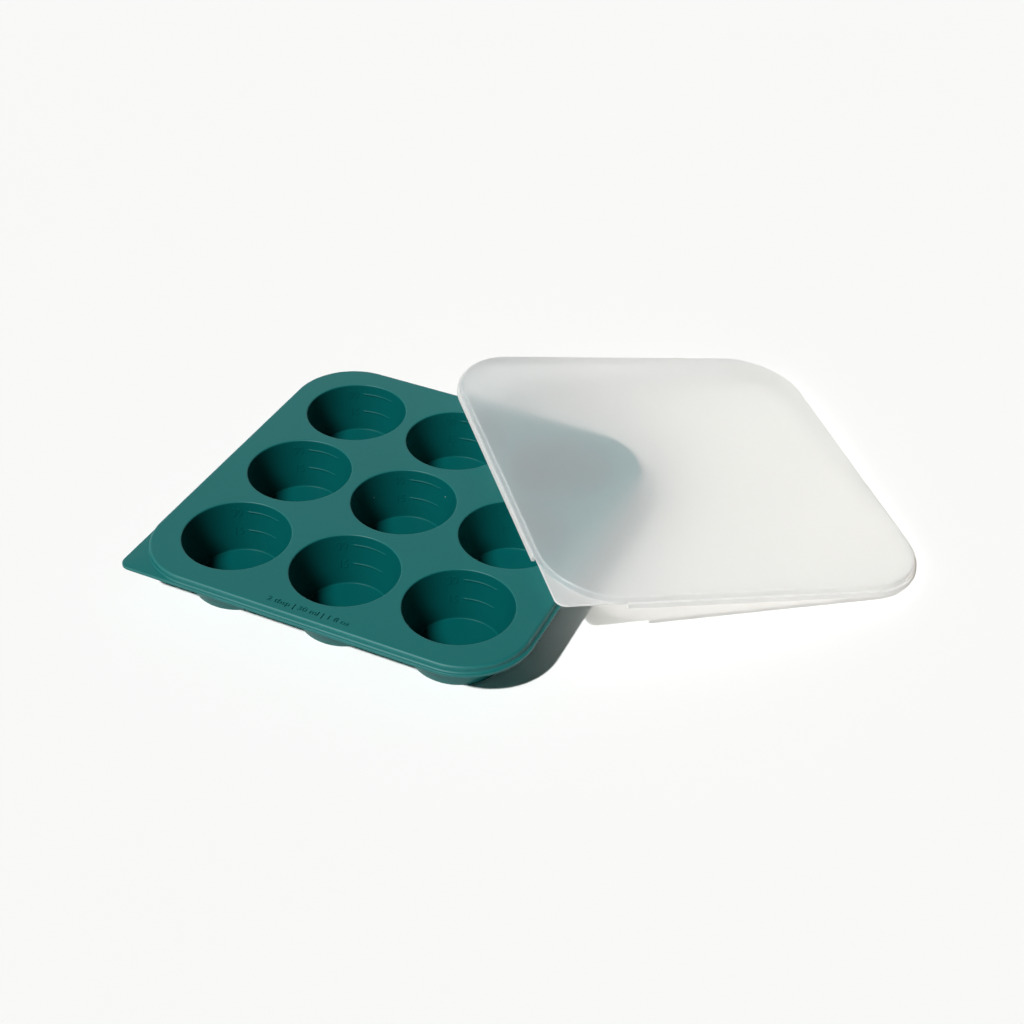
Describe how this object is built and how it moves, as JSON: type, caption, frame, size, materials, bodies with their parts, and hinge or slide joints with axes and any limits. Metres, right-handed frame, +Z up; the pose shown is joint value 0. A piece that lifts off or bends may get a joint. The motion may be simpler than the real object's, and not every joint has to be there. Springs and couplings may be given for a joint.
{
  "type": "baby food freezer tray",
  "caption": "Square soft tray of round tapered cups with fill lines and a corner pull tab, with a flat frosted lid that presses on, here lying against it.",
  "frame": {"origin": "under the middle cup, on the plane that the cups' foot rings stand on", "axes": "+Z up; +X along the front side, away from the corner with the pull tab; +Y from the front side towards the back, away from the pull tab too; the lid lies on the +X +Y corner"},
  "size_m": [0.3316, 0.3167, 0.0434],
  "materials": {
    "silicone": "matte",
    "lid_plastic": "frosted"
  },
  "bodies": {
    "tray": {"cup_r1c1": "silicone", "cup_r1c2": "silicone", "cup_r1c3": "silicone", "cup_r2c1": "silicone", "cup_r2c2": "silicone", "cup_r2c3": "silicone", "cup_r3c1": "silicone", "cup_r3c2": "silicone", "cup_r3c3": "silicone", "tray_rim": "silicone", "tray_tab": "silicone"},
    "cup_floor_r1c1": {"cup_floor_r1c1": "silicone"},
    "cup_floor_r1c2": {"cup_floor_r1c2": "silicone"},
    "cup_floor_r1c3": {"cup_floor_r1c3": "silicone"},
    "cup_floor_r2c1": {"cup_floor_r2c1": "silicone"},
    "cup_floor_r2c2": {"cup_floor_r2c2": "silicone"},
    "cup_floor_r2c3": {"cup_floor_r2c3": "silicone"},
    "cup_floor_r3c1": {"cup_floor_r3c1": "silicone"},
    "cup_floor_r3c2": {"cup_floor_r3c2": "silicone"},
    "cup_floor_r3c3": {"cup_floor_r3c3": "silicone"},
    "lid": {"lid_panel": "lid_plastic", "lid_skirt": "lid_plastic", "lid_tab": "lid_plastic"}
  },
  "joints": [
    {"name": "push_cup_floor_r1c1", "type": "slide", "parent": "tray", "child": "cup_floor_r1c1", "axis": [0, 0, 1], "range_m": [0, 0.008], "stiffness_N_per_m": 600},
    {"name": "push_cup_floor_r1c2", "type": "slide", "parent": "tray", "child": "cup_floor_r1c2", "axis": [0, 0, 1], "range_m": [0, 0.008], "stiffness_N_per_m": 600},
    {"name": "push_cup_floor_r1c3", "type": "slide", "parent": "tray", "child": "cup_floor_r1c3", "axis": [0, 0, 1], "range_m": [0, 0.008], "stiffness_N_per_m": 600},
    {"name": "push_cup_floor_r2c1", "type": "slide", "parent": "tray", "child": "cup_floor_r2c1", "axis": [0, 0, 1], "range_m": [0, 0.008], "stiffness_N_per_m": 600},
    {"name": "push_cup_floor_r2c2", "type": "slide", "parent": "tray", "child": "cup_floor_r2c2", "axis": [0, 0, 1], "range_m": [0, 0.008], "stiffness_N_per_m": 600},
    {"name": "push_cup_floor_r2c3", "type": "slide", "parent": "tray", "child": "cup_floor_r2c3", "axis": [0, 0, 1], "range_m": [0, 0.008], "stiffness_N_per_m": 600},
    {"name": "push_cup_floor_r3c1", "type": "slide", "parent": "tray", "child": "cup_floor_r3c1", "axis": [0, 0, 1], "range_m": [0, 0.008], "stiffness_N_per_m": 600},
    {"name": "push_cup_floor_r3c2", "type": "slide", "parent": "tray", "child": "cup_floor_r3c2", "axis": [0, 0, 1], "range_m": [0, 0.008], "stiffness_N_per_m": 600},
    {"name": "push_cup_floor_r3c3", "type": "slide", "parent": "tray", "child": "cup_floor_r3c3", "axis": [0, 0, 1], "range_m": [0, 0.008], "stiffness_N_per_m": 600},
    {"name": "lid_lift", "type": "slide", "parent": "tray", "child": "lid", "axis": [0, 0, 1], "range_m": [0, 0.12]}
  ]
}
